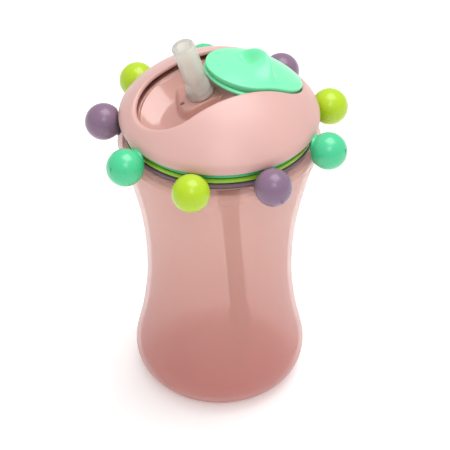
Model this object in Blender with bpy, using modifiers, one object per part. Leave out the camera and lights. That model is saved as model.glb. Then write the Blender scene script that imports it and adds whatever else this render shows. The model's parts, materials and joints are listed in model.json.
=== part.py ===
"""Straw cup with a screw lid, a sliding cover and three rings of beads.

Frame: origin at the centre of the base underside, +Z up, metres.
The lid's dome, its slot, the sliding cover and the bowl under it are all laid
out about one sphere centre. A place on them is given in track coordinates:
the angle along the track, the distance across it, and the radius from the
sphere centre. The track runs along the direction TRACK_TURN from +X.
"""
import math

import bmesh
import bpy
from mathutils import Matrix, Vector

MM = 0.001
STEPS = 40
COLLECTION = "straw_cup"
CUTTERS = "cutters"

# Heights of the main levels, from the base up.
SHOULDER_TOP = 119.1 * MM
NECK_TOP = 125.8 * MM
BEAD_PLANE = 124.2 * MM
DOME_CENTRE_Z = 103.45 * MM

# Cup.
CUP_WALL = 1.8 * MM
CUP_FLOOR = 2.6 * MM
NECK_RADIUS = 31.2 * MM

# Screw thread between the neck and the lid's sleeve.
THREAD_PITCH = 4.0 * MM
THREAD_RIDGE = 1.1 * MM
THREAD_POINTS = 20
NECK_THREAD_START = 120.9 * MM
NECK_THREAD_TURNS = (0.0, 0.9)
SLEEVE_THREAD_TURNS = (0.65, 1.4)

# Lid.
SLEEVE_OUTER = 34.6 * MM
SLEEVE_INNER = 32.9 * MM
SLEEVE_BOTTOM = 120.3 * MM
PLATE_BOTTOM = 127.7 * MM
PLATE_TOP = 129.2 * MM
PLATE_RADIUS = 36.7 * MM
PLATE_OPENING = 24.0 * MM
PLATE_STEP = 128.0 * MM
DOME_RADIUS = 49.1 * MM
DOME_WALL = 2.0 * MM
DOME_SPHERE_END = 53.0
DOME_CORNER = 5.6 * MM

# Slot, cover and bowl, in track coordinates (degrees along, metres across).
TRACK_TURN = 25.4
SLOT_HALF_WIDTH = 16.3 * MM
SLOT_END = 46.5
COVER_HALF_WIDTH = 15.8 * MM
COVER_ENDS = (-5.2, 45.7)
COVER_RADII = (46.9 * MM, 49.3 * MM)
RUNNER_HALF_WIDTH = 17.6 * MM
RUNNER_ENDS = (-6.2, 48.1)
RUNNER_RADII = (45.4 * MM, 46.6 * MM)
BOWL_RADIUS = 45.0 * MM
BOWL_WALL = 1.6 * MM
BOWL_HALF_WIDTH = 16.0 * MM
BOWL_END = 47.8
BOWL_BOTTOM = 129.5 * MM
BOWL_FLOOR = 131.0 * MM
DECK_RADIUS = 40.2 * MM
DECK_HALF_WIDTH = 6.5 * MM
DECK_ENDS = (-27.4, 48.8)
DECK_BOTTOM = 130.3 * MM
BEYOND = 95.0 * MM
WITHIN = 20.0 * MM

# Straw. Its centre line lies in the track's own upright plane.
STRAW_PIVOT_ALONG = -9.2 * MM
STRAW_PIVOT_Z = 145.2 * MM
STRAW_LEAN = 0.378
STRAW_LOW_LEAN = 0.10
BEND_TOP_Z = 132.2 * MM
BEND_END_Z = 99.2 * MM
BARREL_END_Z = 82.0 * MM
TUBE_TOP_Z = 90.0 * MM
TUBE_END_Z = 9.2 * MM
FOOT_TOP_Z = 25.0 * MM
STRAW_BORE = 2.6 * MM
TUBE_RADIUS = 3.6 * MM
BARREL_RADIUS = 4.8 * MM
SOCKET_RADIUS = 3.95 * MM
SOCKET_DEPTH = 8.6 * MM
FOOT_RADIUS = 4.7 * MM
COLLAR_RADIUS = 5.6 * MM
STRAW_HOLE = 5.2 * MM

# Vent in the deck, with its valve under the bowl.
VENT_ALONG = -16.1 * MM
VENT_HOLE = 0.9 * MM

# Bead rings.
RING_INNER = 35.3 * MM
RING_OUTER = 38.0 * MM
RING_HEIGHT = 1.9 * MM
RING_PITCH = 2.5 * MM
BEAD_CIRCLE = 46.63 * MM
BEAD_RADIUS = 7.5 * MM
PEG_RADIUS = 0.7 * MM
PEG_HOLE = 1.0 * MM
PEG_END = 43.6 * MM
# name: level above or below the bead plane, turn of its first bead.
RINGS = {"mint": (RING_PITCH, 97.7), "lime": (0.0, 16.3), "purple": (-RING_PITCH, 56.6)}
BEADS_PER_RING = 3

PINK_SATIN = ("pink_satin", (0.78, 0.45, 0.42), 0.38)
PINK_FROSTED = ("pink_frosted", (0.74, 0.40, 0.36), 0.45)
MINT = ("mint_gloss", (0.07, 0.78, 0.40), 0.22)
LIME = ("lime_gloss", (0.60, 0.86, 0.08), 0.22)
PURPLE = ("purple_gloss", (0.33, 0.21, 0.36), 0.25)
SILICONE = ("clear_silicone", (0.80, 0.79, 0.75), 0.40)
TUBE_PLASTIC = ("tube_plastic", (0.72, 0.55, 0.50), 0.35)
FINISHES = (PINK_SATIN, PINK_FROSTED, MINT, LIME, PURPLE, SILICONE, TUBE_PLASTIC)
RING_FINISH = {"mint": MINT[0], "lime": LIME[0], "purple": PURPLE[0]}


# ---------------------------------------------------------------- scene tools

def clear_scene():
    """Remove every object left in the file."""
    for thing in list(bpy.data.objects):
        bpy.data.objects.remove(thing, do_unlink=True)


def make_collection(name):
    """Make a collection and hang it under the scene."""
    group = bpy.data.collections.new(name)
    bpy.context.scene.collection.children.link(group)
    return group


def make_finish(name, colour, roughness):
    """Make one Principled material."""
    finish = bpy.data.materials.new(name)
    finish.use_nodes = True
    shader = finish.node_tree.nodes["Principled BSDF"]
    shader.inputs["Base Color"].default_value = (*colour, 1.0)
    shader.inputs["Roughness"].default_value = roughness
    shader.inputs["Metallic"].default_value = 0.0
    finish.diffuse_color = (*colour, 1.0)
    return finish


def add_part(name, mesh, finish):
    """Put a mesh in the model as a named part."""
    part = bpy.data.objects.new(name, mesh)
    bpy.data.collections[COLLECTION].objects.link(part)
    mesh.materials.clear()
    mesh.materials.append(bpy.data.materials[finish])
    return part


def add_cutter(name, mesh):
    """Put a mesh among the cutters."""
    cutter = bpy.data.objects.new(name, mesh)
    bpy.data.collections[CUTTERS].objects.link(cutter)
    cutter.hide_render = True
    cutter.display_type = "WIRE"
    return cutter


def boolean(part, cutter, operation, solver="EXACT"):
    """Add a Boolean modifier that uses one cutter."""
    step = part.modifiers.new(operation.lower() + "_" + cutter.name, "BOOLEAN")
    step.object = cutter
    step.operation = operation
    step.solver = solver


def smooth(part, angle=35.0):
    """Shade a round part smooth, but keep its sharp edges."""
    part.data.shade_smooth()
    part.data.set_sharp_from_angle(angle=math.radians(angle))


def evaluated_mesh(part):
    """Copy a part's mesh as its modifiers leave it."""
    bpy.context.view_layer.update()
    graph = bpy.context.evaluated_depsgraph_get()
    return bpy.data.meshes.new_from_object(part.evaluated_get(graph), depsgraph=graph)


# ---------------------------------------------------------------- mesh makers

def profile_mesh(name, points, closed):
    """A profile in the XZ plane, for a Screw modifier."""
    mesh = bpy.data.meshes.new(name)
    vertices = [(radius, 0.0, height) for radius, height in points]
    edges = [(i, i + 1) for i in range(len(points) - 1)]
    if closed:
        edges.append((len(points) - 1, 0))
    mesh.from_pydata(vertices, edges, [])
    return mesh


def turn(part, steps=STEPS):
    """Turn a part's profile about Z."""
    screw = part.modifiers.new("turned", "SCREW")
    screw.axis = "Z"
    screw.angle = math.tau
    screw.steps = steps
    screw.render_steps = steps
    screw.use_merge_vertices = True
    screw.merge_threshold = 0.00002
    screw.use_smooth_shade = True


def turned_part(name, points, finish, closed=True, steps=STEPS):
    """A part turned from a profile that runs down its outer side."""
    part = add_part(name, profile_mesh(name, points, closed), finish)
    turn(part, steps)
    return part


def turned_cutter(name, points, closed=True, steps=STEPS):
    """A cutter turned from a profile that runs down its outer side."""
    cutter = add_cutter(name, profile_mesh(name, points, closed))
    turn(cutter, steps)
    return cutter


def loft_mesh(name, loops):
    """A closed solid through loops of the same number of points."""
    build = bmesh.new()
    rows = [[build.verts.new(point) for point in loop] for loop in loops]
    count = len(rows[0])
    for low, high in zip(rows, rows[1:]):
        for i in range(count):
            j = (i + 1) % count
            build.faces.new((low[i], low[j], high[j], high[i]))
    build.faces.new(list(reversed(rows[0])))
    build.faces.new(rows[-1])
    if build.calc_volume(signed=True) < 0.0:
        bmesh.ops.reverse_faces(build, faces=build.faces)
    mesh = bpy.data.meshes.new(name)
    build.to_mesh(mesh)
    build.free()
    return mesh


def rod_mesh(name, points, radii, sides_step=4):
    """A solid round rod along points, with its own radius at each of them."""
    curve = bpy.data.curves.new(name, "CURVE")
    curve.dimensions = "3D"
    curve.bevel_depth = MM
    curve.bevel_resolution = sides_step
    curve.use_fill_caps = True
    line = curve.splines.new("POLY")
    line.points.add(len(points) - 1)
    for knot, place, radius in zip(line.points, points, radii):
        knot.co = (*place, 1.0)
        knot.radius = radius / MM
    guide = bpy.data.objects.new(name + "_curve", curve)
    bpy.data.collections[CUTTERS].objects.link(guide)
    mesh = evaluated_mesh(guide)
    build = bmesh.new()
    build.from_mesh(mesh)
    bmesh.ops.remove_doubles(build, verts=build.verts, dist=0.000001)
    bmesh.ops.recalc_face_normals(build, faces=build.faces)
    build.to_mesh(mesh)
    build.free()
    bpy.data.objects.remove(guide, do_unlink=True)
    return mesh


def cone_mesh(name, radius_1, radius_2, start, end, steps=16):
    """A cone or cylinder between two points."""
    axis = Vector(end) - Vector(start)
    build = bmesh.new()
    bmesh.ops.create_cone(
        build, cap_ends=True, segments=steps, radius1=radius_1, radius2=radius_2, depth=axis.length
    )
    aim = Vector((0.0, 0.0, 1.0)).rotation_difference(axis).to_matrix().to_4x4()
    place = Matrix.Translation((Vector(start) + Vector(end)) / 2.0) @ aim
    bmesh.ops.transform(build, matrix=place, verts=build.verts)
    mesh = bpy.data.meshes.new(name)
    build.to_mesh(mesh)
    build.free()
    return mesh


# ------------------------------------------------------- places in the frame

def arc(centre, radius, start, end, count):
    """Points on an arc; angles in degrees, measured from straight up."""
    turns = [math.radians(start + (end - start) * i / count) for i in range(count + 1)]
    return [(centre[0] + radius * math.sin(a), centre[1] + radius * math.cos(a)) for a in turns]


def along_track(along, across, height):
    """A point from its distances along and across the track, and its height."""
    turn_by = math.radians(TRACK_TURN)
    x = along * math.cos(turn_by) - across * math.sin(turn_by)
    y = along * math.sin(turn_by) + across * math.cos(turn_by)
    return Vector((x, y, height))


def on_sphere(angle, across, radius):
    """A point from its track coordinates: degrees along, metres across, radius."""
    swing = math.sqrt(radius * radius - across * across)
    lean = math.radians(angle)
    return along_track(swing * math.sin(lean), across, DOME_CENTRE_Z + swing * math.cos(lean))


def on_level(angle, across, height):
    """The point at a height that lies on the same track ray as an angle."""
    rise = height - DOME_CENTRE_Z
    return along_track(rise * math.tan(math.radians(angle)), across, height)


def stadium(half_width, start, end, end_reach, count=12):
    """An outline with round ends, as pairs of degrees along and metres across."""
    outline = []
    for i in range(count + 1):
        a = math.radians(-90.0 + 180.0 * i / count)
        outline.append((end - end_reach + end_reach * math.cos(a), half_width * math.sin(a)))
    straight = 6
    for i in range(1, straight):
        share = i / straight
        outline.append((end - end_reach + share * (start + end_reach - end + end_reach), half_width))
    for i in range(count + 1):
        a = math.radians(90.0 + 180.0 * i / count)
        outline.append((start + end_reach + end_reach * math.cos(a), half_width * math.sin(a)))
    for i in range(1, straight):
        share = i / straight
        outline.append((start + end_reach + share * (end - end_reach - start - end_reach), -half_width))
    return outline


def round_end(half_width, radius):
    """Degrees that a round end of this half width takes at a radius."""
    return math.degrees(math.asin(half_width / radius))


def track_cutter(name, outline, floor=None):
    """A cutter that follows the track, from inside (or from a floor) outwards."""
    if floor is None:
        low = [on_sphere(angle, across, WITHIN) for angle, across in outline]
    else:
        low = [on_level(angle, across, floor) for angle, across in outline]
    high = [on_sphere(angle, across, BEYOND) for angle, across in outline]
    return add_cutter(name, loft_mesh(name, [low, high]))


def cap_profile(outer, inner, reach):
    """The profile of a piece of spherical shell around the dome's centre."""
    centre = (0.0, DOME_CENTRE_Z)
    return arc(centre, outer, 0.0, reach, 12) + arc(centre, inner, reach, 0.0, 12)


def ball_profile(radius, bottom):
    """The profile of a ball's top, cut off flat at a height."""
    reach = math.degrees(math.acos((bottom - DOME_CENTRE_Z) / radius))
    return arc((0.0, DOME_CENTRE_Z), radius, 0.0, reach, 10) + [(0.0, bottom)]


# ----------------------------------------------------------------------- cup

def cup_outline():
    """The cup's outer side from the shoulder down to the base: waist and belly."""
    sizes = (
        (41.07, 118.0), (38.18, 109.3), (35.28, 96.9), (32.43, 83.2), (30.68, 68.3), (30.25, 53.4),
        (31.2, 39.8), (32.65, 29.8), (34.54, 21.1), (35.71, 13.7), (34.58, 7.5), (31.8, 3.1),
    )
    return [(radius * MM, height * MM) for radius, height in sizes]


def thread_mesh(name, radius, start_z, turns):
    """A round thread ridge along a helix, tapered at both ends."""
    count = round((turns[1] - turns[0]) * THREAD_POINTS)
    points = []
    radii = []
    for i in range(count + 1):
        turns_done = turns[0] + (turns[1] - turns[0]) * i / count
        a = math.tau * turns_done
        points.append((radius * math.cos(a), radius * math.sin(a), start_z + THREAD_PITCH * turns_done))
        radii.append(THREAD_RIDGE * min(1.0, 0.45 + 0.25 * min(i, count - i)))
    return rod_mesh(name, points, radii, sides_step=2)


def make_cup():
    """The one-piece cup with its shoulder, neck and thread."""
    outer = cup_outline()
    base_edge = 28.9 * MM
    base_round = 0.4 * MM
    shoulder_edge = 39.6 * MM
    neck_edge = 0.3 * MM
    top = [
        (NECK_RADIUS - neck_edge, NECK_TOP),
        (NECK_RADIUS, NECK_TOP - neck_edge),
        (NECK_RADIUS, SHOULDER_TOP),
        (shoulder_edge, SHOULDER_TOP),
        (shoulder_edge + 1.0 * MM, SHOULDER_TOP - base_round),
    ]
    bottom = [(base_edge, base_round), (base_edge - base_round, 0.0), (0.0, 0.0), (0.0, CUP_FLOOR)]
    inner = [(base_edge - CUP_WALL, CUP_FLOOR), (outer[-1][0] - CUP_WALL, outer[-1][1] + CUP_WALL)]
    inner += [(radius - CUP_WALL, height) for radius, height in reversed(outer[1:-1])]
    inner += [
        (outer[0][0] - 1.6 * CUP_WALL, outer[0][1] - 0.8 * CUP_WALL),
        (NECK_RADIUS - CUP_WALL + 1.0 * MM, SHOULDER_TOP - CUP_WALL),
        (NECK_RADIUS - CUP_WALL, SHOULDER_TOP - 0.5 * MM),
        (NECK_RADIUS - CUP_WALL, NECK_TOP),
    ]
    cup = turned_part("cup_body", top + outer + bottom + inner, PINK_FROSTED[0])
    ridge = thread_mesh("neck_thread", NECK_RADIUS, NECK_THREAD_START, NECK_THREAD_TURNS)
    boolean(cup, add_cutter("neck_thread", ridge), "UNION")
    smooth(cup)


# ----------------------------------------------------------------------- lid

def make_lid_base():
    """The threaded sleeve that the rings turn on, with its sealing plate."""
    profile = [
        (PLATE_RADIUS, PLATE_TOP), (PLATE_RADIUS, PLATE_STEP), (SLEEVE_OUTER, PLATE_STEP),
        (SLEEVE_OUTER, SLEEVE_BOTTOM), (SLEEVE_INNER, SLEEVE_BOTTOM), (SLEEVE_INNER, PLATE_BOTTOM),
        (PLATE_OPENING, PLATE_BOTTOM), (PLATE_OPENING, PLATE_TOP),
    ]
    base = turned_part("lid_base", profile, PINK_SATIN[0])
    start = NECK_THREAD_START - THREAD_PITCH / 2.0
    ridge = thread_mesh("sleeve_thread", SLEEVE_INNER, start, SLEEVE_THREAD_TURNS)
    boolean(base, add_cutter("sleeve_thread", ridge), "UNION")
    smooth(base)


def make_gasket():
    """The silicone washer between the cup's rim and the lid's plate."""
    inner = 28.6 * MM
    outer = 32.2 * MM
    low = NECK_TOP + 0.3 * MM
    high = PLATE_BOTTOM - 0.3 * MM
    lip = 0.4 * MM
    profile = [
        (outer - lip, high), (outer, high - lip), (outer, low + lip), (outer - lip, low),
        (inner + lip, low), (inner, low + lip), (inner, high - lip), (inner + lip, high),
    ]
    smooth(turned_part("lid_gasket", profile, SILICONE[0]))


def make_ring_retainer():
    """The snap washer under the rings that keeps them on the sleeve."""
    inner = 33.2 * MM
    outer = 37.3 * MM
    low = SHOULDER_TOP + 0.35 * MM
    high = SLEEVE_BOTTOM - 0.3 * MM
    profile = [(outer, high), (outer, low), (inner, low), (inner, high)]
    smooth(turned_part("ring_retainer", profile, PINK_SATIN[0]))


def make_dome():
    """The domed outer cover of the lid, with the slot cut through it."""
    centre = (0.0, DOME_CENTRE_Z)
    turn_point = arc(centre, DOME_RADIUS - DOME_CORNER, DOME_SPHERE_END, DOME_SPHERE_END, 1)[0]
    outer = arc(centre, DOME_RADIUS, 0.0, DOME_SPHERE_END, 10)
    corner = arc(turn_point, DOME_CORNER, DOME_SPHERE_END, 90.0, 4)[1:]
    edge = corner[-1]
    tuck = [
        (edge[0] - 0.1 * MM, edge[1] - 0.6 * MM),
        (edge[0] - 0.9 * MM, edge[1] - 1.0 * MM),
        (PLATE_RADIUS + 0.3 * MM, edge[1] - 1.3 * MM),
        (PLATE_RADIUS + 0.3 * MM, edge[1] - 0.1 * MM),
    ]
    inner = arc(centre, DOME_RADIUS - DOME_WALL, 54.2, 0.0, 10)
    dome = turned_part("lid_dome", outer + corner + tuck + inner, PINK_SATIN[0], closed=False)
    outline = stadium(SLOT_HALF_WIDTH, -SLOT_END, SLOT_END, round_end(SLOT_HALF_WIDTH, DOME_RADIUS))
    boolean(dome, track_cutter("slot_cutter", outline), "DIFFERENCE")
    smooth(dome)


def make_bowl():
    """The bowl under the slot: track ledge, recess, and the deck for the straw."""
    centre = (0.0, DOME_CENTRE_Z)
    inside = BOWL_RADIUS - BOWL_WALL
    foot_outer = math.degrees(math.acos((BOWL_BOTTOM - DOME_CENTRE_Z) / BOWL_RADIUS))
    foot_inner = math.degrees(math.acos((BOWL_BOTTOM - DOME_CENTRE_Z) / inside))
    shell = arc(centre, BOWL_RADIUS, 0.0, foot_outer, 12) + arc(centre, inside, foot_inner, 0.0, 12)
    bowl = turned_part("lid_bowl", shell, PINK_SATIN[0], closed=False)

    skin = BOWL_WALL
    reach = round_end(BOWL_HALF_WIDTH, BOWL_RADIUS)
    reach_outer = round_end(BOWL_HALF_WIDTH + skin, BOWL_RADIUS)
    block_end = BOWL_END + reach_outer - reach
    block_outline = stadium(BOWL_HALF_WIDTH + skin, -block_end, block_end, reach_outer)
    block = turned_cutter("bowl_block", ball_profile(BOWL_RADIUS - 0.1 * MM, BOWL_BOTTOM), closed=False)
    boolean(block, track_cutter("bowl_block_cutter", block_outline), "INTERSECT")
    boolean(bowl, block, "UNION")

    recess_outline = stadium(BOWL_HALF_WIDTH, -BOWL_END, BOWL_END, reach)
    boolean(bowl, track_cutter("recess_cutter", recess_outline, floor=BOWL_FLOOR), "DIFFERENCE")

    deck_reach = 7.0
    deck_outline = stadium(DECK_HALF_WIDTH, *DECK_ENDS, deck_reach)
    deck = turned_cutter("deck_block", ball_profile(DECK_RADIUS, DECK_BOTTOM), closed=False)
    boolean(deck, track_cutter("deck_cutter", deck_outline), "INTERSECT")
    boolean(bowl, deck, "UNION")

    top = straw_point(STRAW_PIVOT_Z + 10.0 * MM)
    low = straw_point(BEND_TOP_Z)
    down = low + (low - top).normalized() * 8.0 * MM
    hole = cone_mesh("straw_hole", STRAW_HOLE, STRAW_HOLE, down, top, steps=24)
    boolean(bowl, add_cutter("straw_hole", hole), "DIFFERENCE", solver="MANIFOLD")
    vent_low = along_track(VENT_ALONG, 0.0, BOWL_BOTTOM - 3.0 * MM)
    vent_top = along_track(VENT_ALONG, 0.0, BOWL_BOTTOM + 30.0 * MM)
    vent = cone_mesh("vent_hole", VENT_HOLE, VENT_HOLE, vent_low, vent_top, steps=12)
    boolean(bowl, add_cutter("vent_hole", vent), "DIFFERENCE", solver="MANIFOLD")
    smooth(bowl)


def make_vent_valve():
    """The duckbill valve that lets air in through the vent."""
    stem = VENT_HOLE - 0.3 * MM
    top = BOWL_BOTTOM - 0.3 * MM
    profile = [
        (0.0, top + 2.5 * MM), (stem, top + 2.5 * MM), (stem, top), (3.0 * MM, top),
        (3.0 * MM, top - 0.8 * MM), (1.8 * MM, top - 0.8 * MM), (0.9 * MM, top - 5.0 * MM),
        (0.0, top - 5.0 * MM),
    ]
    valve = turned_part("vent_valve", profile, SILICONE[0], closed=False, steps=16)
    valve.location = along_track(VENT_ALONG, 0.0, 0.0)
    smooth(valve)


# --------------------------------------------------------------------- cover

def ridge_loops():
    """Sections of the thumb ridge, a curved fin that stands on the cover."""
    count = 10
    back = 7.0 * MM
    front = -13.5 * MM
    root = COVER_RADII[1] - 0.8 * MM
    loops = []
    for i in range(count + 1):
        share = i / count
        across = back + (front - back) * share
        angle = 19.5 - 7.0 * (1.0 - share) ** 2.5 - 1.5 * share ** 3
        height = 0.6 * MM + 5.4 * MM * math.sin(math.pi * min(1.0, 0.12 + 0.80 * share)) ** 0.8
        crest = COVER_RADII[1] + height
        loops.append([
            on_sphere(angle - 4.0, across, root),
            on_sphere(angle + 2.6, across, root),
            on_sphere(angle + 0.9, across, crest - 0.5 * MM),
            on_sphere(angle + 0.2, across, crest),
            on_sphere(angle - 0.7, across, crest - 0.4 * MM),
            on_sphere(angle - 1.9, across, COVER_RADII[1] + height * 0.35),
        ])
    return loops


def make_cover():
    """The sliding cover with its thumb ridge, and the runner snapped under it."""
    outer = COVER_RADII[1]
    cover = turned_part("slide_cover", cap_profile(outer, COVER_RADII[0], 60.0), MINT[0], closed=False)
    reach = round_end(COVER_HALF_WIDTH, DOME_RADIUS)
    outline = stadium(COVER_HALF_WIDTH, *COVER_ENDS, reach)
    boolean(cover, track_cutter("cover_cutter", outline), "INTERSECT")
    boolean(cover, add_cutter("thumb_ridge", loft_mesh("thumb_ridge", ridge_loops())), "UNION")
    smooth(cover)

    shell = cap_profile(RUNNER_RADII[1], RUNNER_RADII[0], 62.0)
    runner = turned_part("slide_runner", shell, MINT[0], closed=False)
    reach = round_end(RUNNER_HALF_WIDTH, DOME_RADIUS)
    outline = stadium(RUNNER_HALF_WIDTH, *RUNNER_ENDS, reach)
    boolean(runner, track_cutter("runner_cutter", outline), "INTERSECT")
    smooth(runner)


# --------------------------------------------------------------------- straw

def straw_point(height):
    """A point on the straw's centre line, from its height."""
    drop = STRAW_PIVOT_Z - height
    straight = min(drop, STRAW_PIVOT_Z - BEND_TOP_Z)
    along = STRAW_PIVOT_ALONG + STRAW_LEAN * straight
    if height < BEND_TOP_Z:
        bend = BEND_TOP_Z - BEND_END_Z
        into = min(BEND_TOP_Z - height, bend)
        along += STRAW_LEAN * into - (STRAW_LEAN - STRAW_LOW_LEAN) * into * into / (2.0 * bend)
    if height < BEND_END_Z:
        along += STRAW_LOW_LEAN * (BEND_END_Z - height)
    return along_track(along, 0.0, height)


def straw_run(top, bottom, spacing=5.0 * MM):
    """Points down the straw's centre line between two heights."""
    count = max(1, round((top - bottom) / spacing))
    return [straw_point(top + (bottom - top) * i / count) for i in range(count + 1)]


def bored_rod(name, points, radii, bore_points, bore_radii, finish):
    """A tube: a rod with a bore that runs out through both its ends."""
    tube = add_part(name, rod_mesh(name, points, radii), finish)
    bore = add_cutter(name + "_bore", rod_mesh(name + "_bore", bore_points, bore_radii))
    boolean(tube, bore, "DIFFERENCE")
    smooth(tube)


def make_straw_collar():
    """The fixed half of the mouthpiece: a collar on the deck, and its barrel."""
    start = STRAW_PIVOT_Z - 0.3 * MM
    flange_end = start - 1.0 * MM
    neck = 0.1 * MM
    heights = [start, flange_end, flange_end - neck]
    radii = [COLLAR_RADIUS, COLLAR_RADIUS, BARREL_RADIUS]
    run = straw_run(flange_end - neck, BARREL_END_Z)
    points = [straw_point(height) for height in heights] + run[1:]
    radii += [BARREL_RADIUS] * (len(run) - 1)
    step = BARREL_END_Z + SOCKET_DEPTH
    bore = straw_run(STRAW_PIVOT_Z + 3.0 * MM, step)
    bore_radii = [STRAW_BORE] * len(bore)
    for height in (step - neck, BARREL_END_Z, BARREL_END_Z - 3.0 * MM):
        bore.append(straw_point(height))
        bore_radii.append(SOCKET_RADIUS)
    bored_rod("straw_collar", points, radii, bore, bore_radii, SILICONE[0])


def make_straw_tube():
    """The long tube that reaches down into the cup, and the foot on its end."""
    run = straw_run(TUBE_TOP_Z, TUBE_END_Z, spacing=8.0 * MM)
    bore = straw_run(TUBE_TOP_Z + 3.0 * MM, TUBE_END_Z - 3.0 * MM, spacing=8.0 * MM)
    bore_radii = [STRAW_BORE] * len(bore)
    bored_rod("straw_tube", run, [TUBE_RADIUS] * len(run), bore, bore_radii, TUBE_PLASTIC[0])

    foot = straw_run(FOOT_TOP_Z, TUBE_END_Z, spacing=6.0 * MM)
    around = straw_run(FOOT_TOP_Z + 3.0 * MM, TUBE_END_Z - 3.0 * MM, spacing=6.0 * MM)
    around_radii = [TUBE_RADIUS + 0.4 * MM] * len(around)
    foot_radii = [FOOT_RADIUS] * len(foot)
    bored_rod("straw_foot", foot, foot_radii, around, around_radii, TUBE_PLASTIC[0])


def make_straw_spout():
    """The upper half of the mouthpiece, which folds over when the cover closes."""
    sizes = (
        (-9.2, 145.2, 5.0), (-9.58, 146.2, 5.0), (-9.85, 147.6, 4.7), (-10.3, 149.9, 4.5),
        (-12.0, 155.4, 4.6), (-14.0, 161.5, 4.6), (-15.9, 167.2, 4.6), (-16.2, 168.1, 4.3),
    )
    points = [along_track(along * MM, 0.0, height * MM) for along, height, _ in sizes]
    radii = [radius * MM for _, _, radius in sizes]
    first = points[0] + (points[0] - points[1]) * 1.5
    last = points[-1] + (points[-1] - points[-2]) * 3.0
    bore = [first] + points[1:-1] + [last]
    bored_rod("straw_spout", points, radii, bore, [STRAW_BORE] * len(bore), SILICONE[0])


# --------------------------------------------------------------------- rings

def ring_profile(level):
    """The profile of one thin ring."""
    high = BEAD_PLANE + level + RING_HEIGHT / 2.0
    low = high - RING_HEIGHT
    return [(RING_OUTER, high), (RING_OUTER, low), (RING_INNER, low), (RING_INNER, high)]


def make_ring(colour, level, first_turn):
    """One ring with its three pegs."""
    ring = turned_part("ring_" + colour, ring_profile(level), RING_FINISH[colour])
    height = BEAD_PLANE + level
    for i in range(BEADS_PER_RING):
        a = math.radians(first_turn + 360.0 * i / BEADS_PER_RING)
        out = Vector((math.cos(a), math.sin(a), 0.0))
        lift = Vector((0.0, 0.0, height))
        name = "peg_" + colour + "_" + str(i + 1)
        peg = cone_mesh(name, PEG_RADIUS, PEG_RADIUS, out * 36.8 * MM + lift, out * PEG_END + lift, 10)
        boolean(ring, add_cutter(name, peg), "UNION")
    smooth(ring)


def bead_mesh(colour, level):
    """A bead with its short neck, about the bead's own centre; the ring lies at -X."""
    build = bmesh.new()
    bmesh.ops.create_uvsphere(build, u_segments=14, v_segments=9, radius=BEAD_RADIUS)
    ball = bpy.data.meshes.new("bead_ball_" + colour)
    build.to_mesh(ball)
    build.free()
    neck_start = Vector((38.5 * MM - BEAD_CIRCLE, 0.0, level))
    neck_end = Vector((41.6 * MM - BEAD_CIRCLE, 0.0, level))
    hole_start = neck_start - Vector((1.0 * MM, 0.0, 0.0))
    hole_end = Vector((PEG_END + 0.4 * MM - BEAD_CIRCLE, 0.0, level))
    blank = add_cutter("bead_blank_" + colour, ball)
    neck = cone_mesh("bead_neck_" + colour, 1.4 * MM, 2.1 * MM, neck_start, neck_end, 14)
    hole = cone_mesh("bead_hole_" + colour, PEG_HOLE, PEG_HOLE, hole_start, hole_end, 10)
    boolean(blank, add_cutter("bead_neck_" + colour, neck), "UNION")
    boolean(blank, add_cutter("bead_hole_" + colour, hole), "DIFFERENCE")
    mesh = evaluated_mesh(blank)
    bpy.data.objects.remove(blank, do_unlink=True)
    return mesh


def make_beads(colour, level, first_turn):
    """The three beads of one ring."""
    mesh = bead_mesh(colour, level)
    for i in range(BEADS_PER_RING):
        a = math.radians(first_turn + 360.0 * i / BEADS_PER_RING)
        bead = add_part("bead_" + colour + "_" + str(i + 1), mesh, RING_FINISH[colour])
        bead.location = (BEAD_CIRCLE * math.cos(a), BEAD_CIRCLE * math.sin(a), BEAD_PLANE)
        bead.rotation_euler = (0.0, 0.0, a)
        smooth(bead)


def main():
    """Build the whole cup."""
    clear_scene()
    make_collection(COLLECTION)
    make_collection(CUTTERS)
    for finish in FINISHES:
        make_finish(*finish)
    make_cup()
    make_lid_base()
    make_gasket()
    make_ring_retainer()
    make_dome()
    make_bowl()
    make_vent_valve()
    make_cover()
    make_straw_collar()
    make_straw_tube()
    make_straw_spout()
    for colour, (level, first_turn) in RINGS.items():
        make_ring(colour, level, first_turn)
        make_beads(colour, level, first_turn)


main()
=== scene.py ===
"""Straw cup with a screw lid, a sliding cover and three rings of beads.

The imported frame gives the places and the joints. The classes below build the
fine surfaces of each sub-assembly around it, and dress them.
"""

import json
import logging
import math
from dataclasses import dataclass
from enum import Enum
from typing import Sequence

import bmesh
import bpy
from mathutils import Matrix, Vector


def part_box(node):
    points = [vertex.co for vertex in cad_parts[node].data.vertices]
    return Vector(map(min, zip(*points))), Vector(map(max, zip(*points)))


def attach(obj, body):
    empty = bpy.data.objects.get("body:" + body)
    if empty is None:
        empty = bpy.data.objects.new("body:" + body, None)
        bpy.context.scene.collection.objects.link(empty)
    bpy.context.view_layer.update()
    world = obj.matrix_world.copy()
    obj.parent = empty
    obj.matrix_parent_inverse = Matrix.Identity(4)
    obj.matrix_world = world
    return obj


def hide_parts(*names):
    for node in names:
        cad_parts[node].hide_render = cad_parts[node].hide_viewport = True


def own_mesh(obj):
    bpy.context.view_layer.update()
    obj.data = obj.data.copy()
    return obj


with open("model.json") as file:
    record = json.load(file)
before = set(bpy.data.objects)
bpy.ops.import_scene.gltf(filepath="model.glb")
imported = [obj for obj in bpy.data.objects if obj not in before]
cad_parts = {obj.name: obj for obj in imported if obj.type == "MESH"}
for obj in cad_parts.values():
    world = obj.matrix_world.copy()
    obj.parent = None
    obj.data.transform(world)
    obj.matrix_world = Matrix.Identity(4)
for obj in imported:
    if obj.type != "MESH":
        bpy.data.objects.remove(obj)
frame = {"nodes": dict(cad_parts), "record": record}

LOG = logging.getLogger("straw_cup")
MM = 0.001
UP = Vector((0.0, 0.0, 1.0))
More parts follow.
